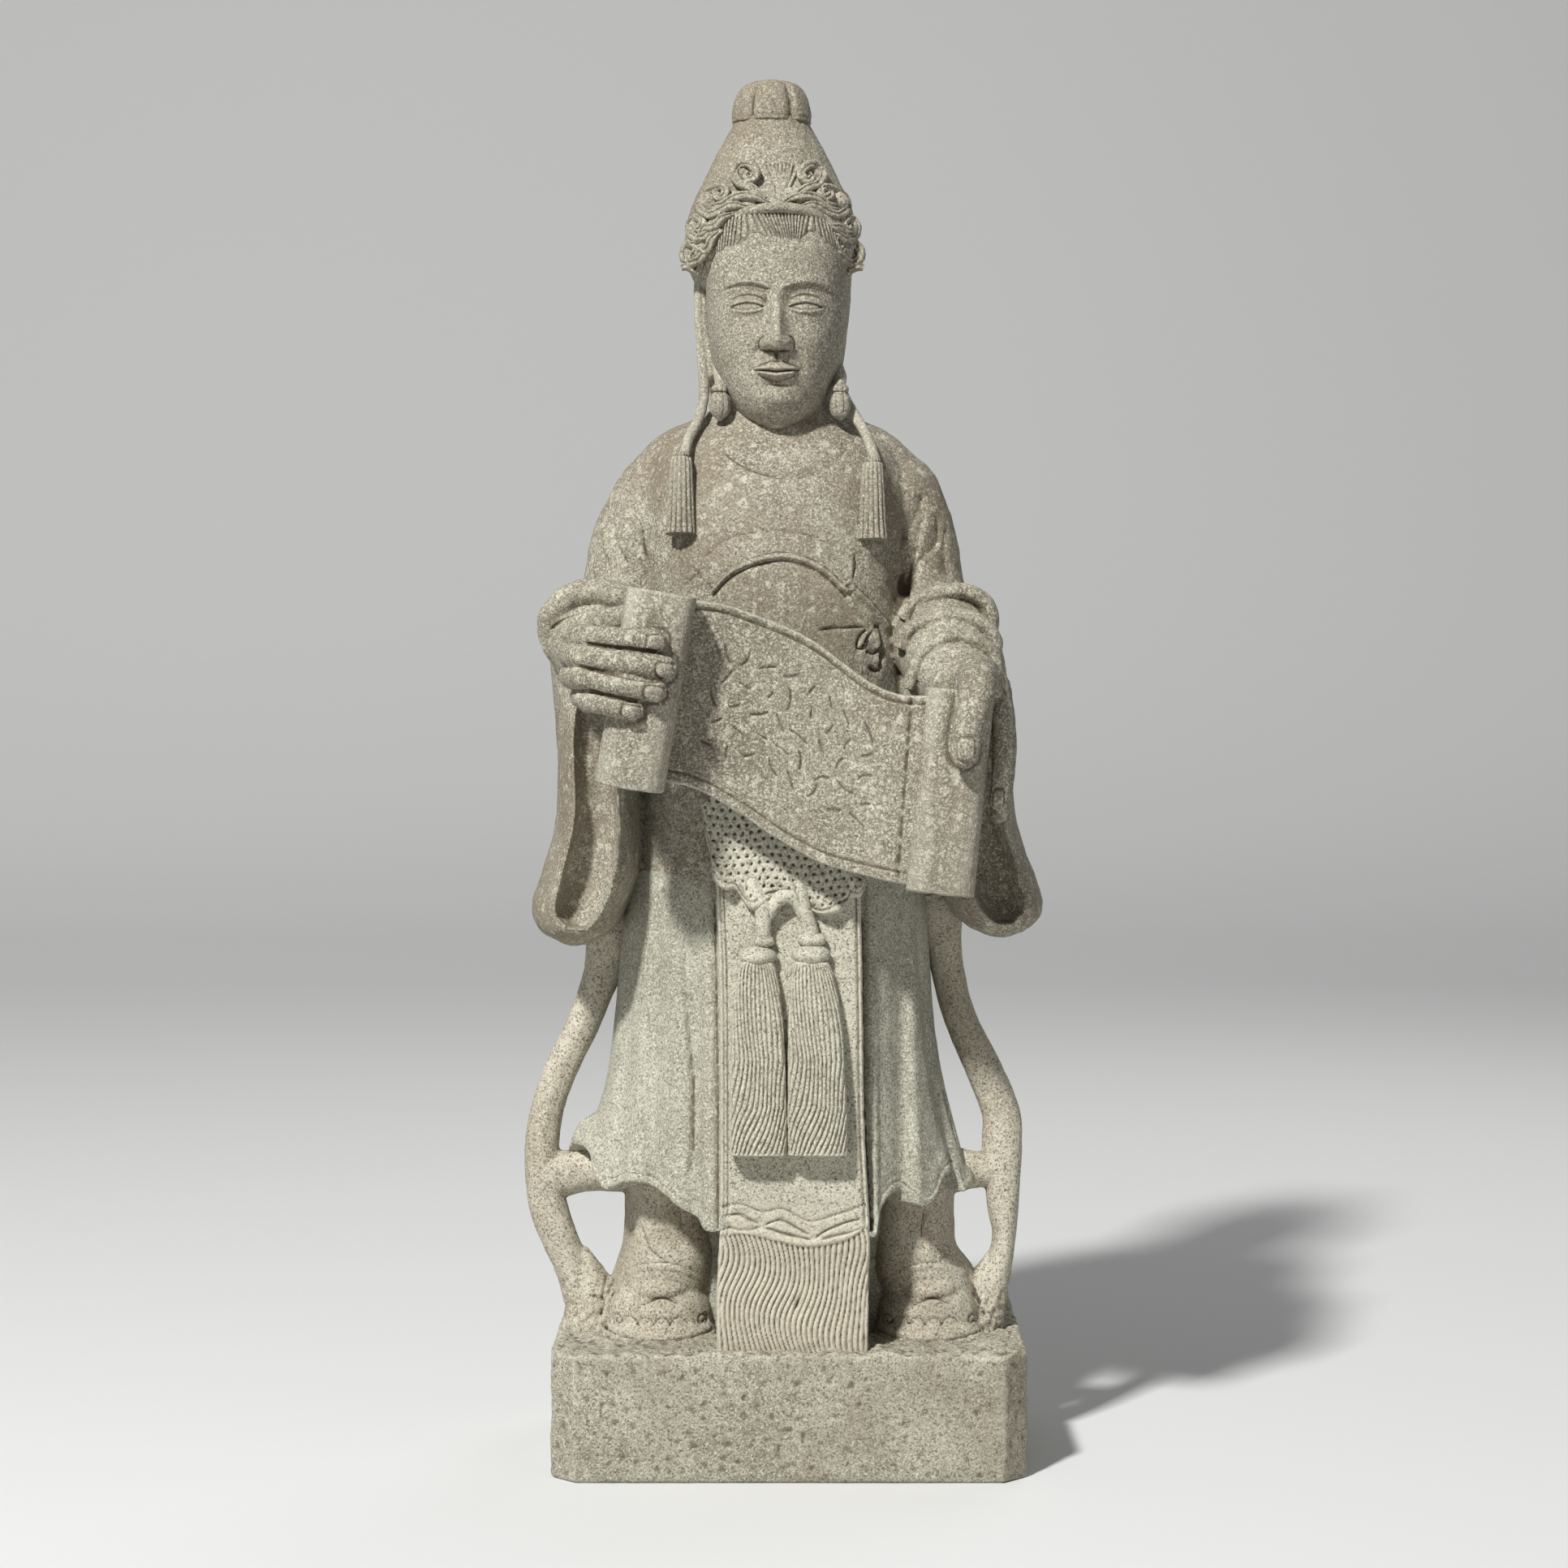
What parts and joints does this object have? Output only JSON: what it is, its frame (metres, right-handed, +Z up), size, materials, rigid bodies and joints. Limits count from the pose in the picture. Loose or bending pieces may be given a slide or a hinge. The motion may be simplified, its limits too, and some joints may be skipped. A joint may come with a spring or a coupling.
{
  "type": "stone scholar statue",
  "caption": "Standing robed scholar who unrolls a scroll, carved in granite in one block with a low plinth; garden or hall ornament.",
  "frame": {"origin": "centre of the plinth's underside, on the ground", "axes": "+Z up, the figure faces -Y, +X to the viewer's right"},
  "size_m": [0.564, 0.4623, 1.4936],
  "materials": {
    "granite": "weathered grey-green granite, dull and grainy, with pale lichen rosettes on chest and scroll and brown dirt in the folds"
  },
  "bodies": {
    "root": {"scholar_statue": "granite"}
  },
  "joints": []
}
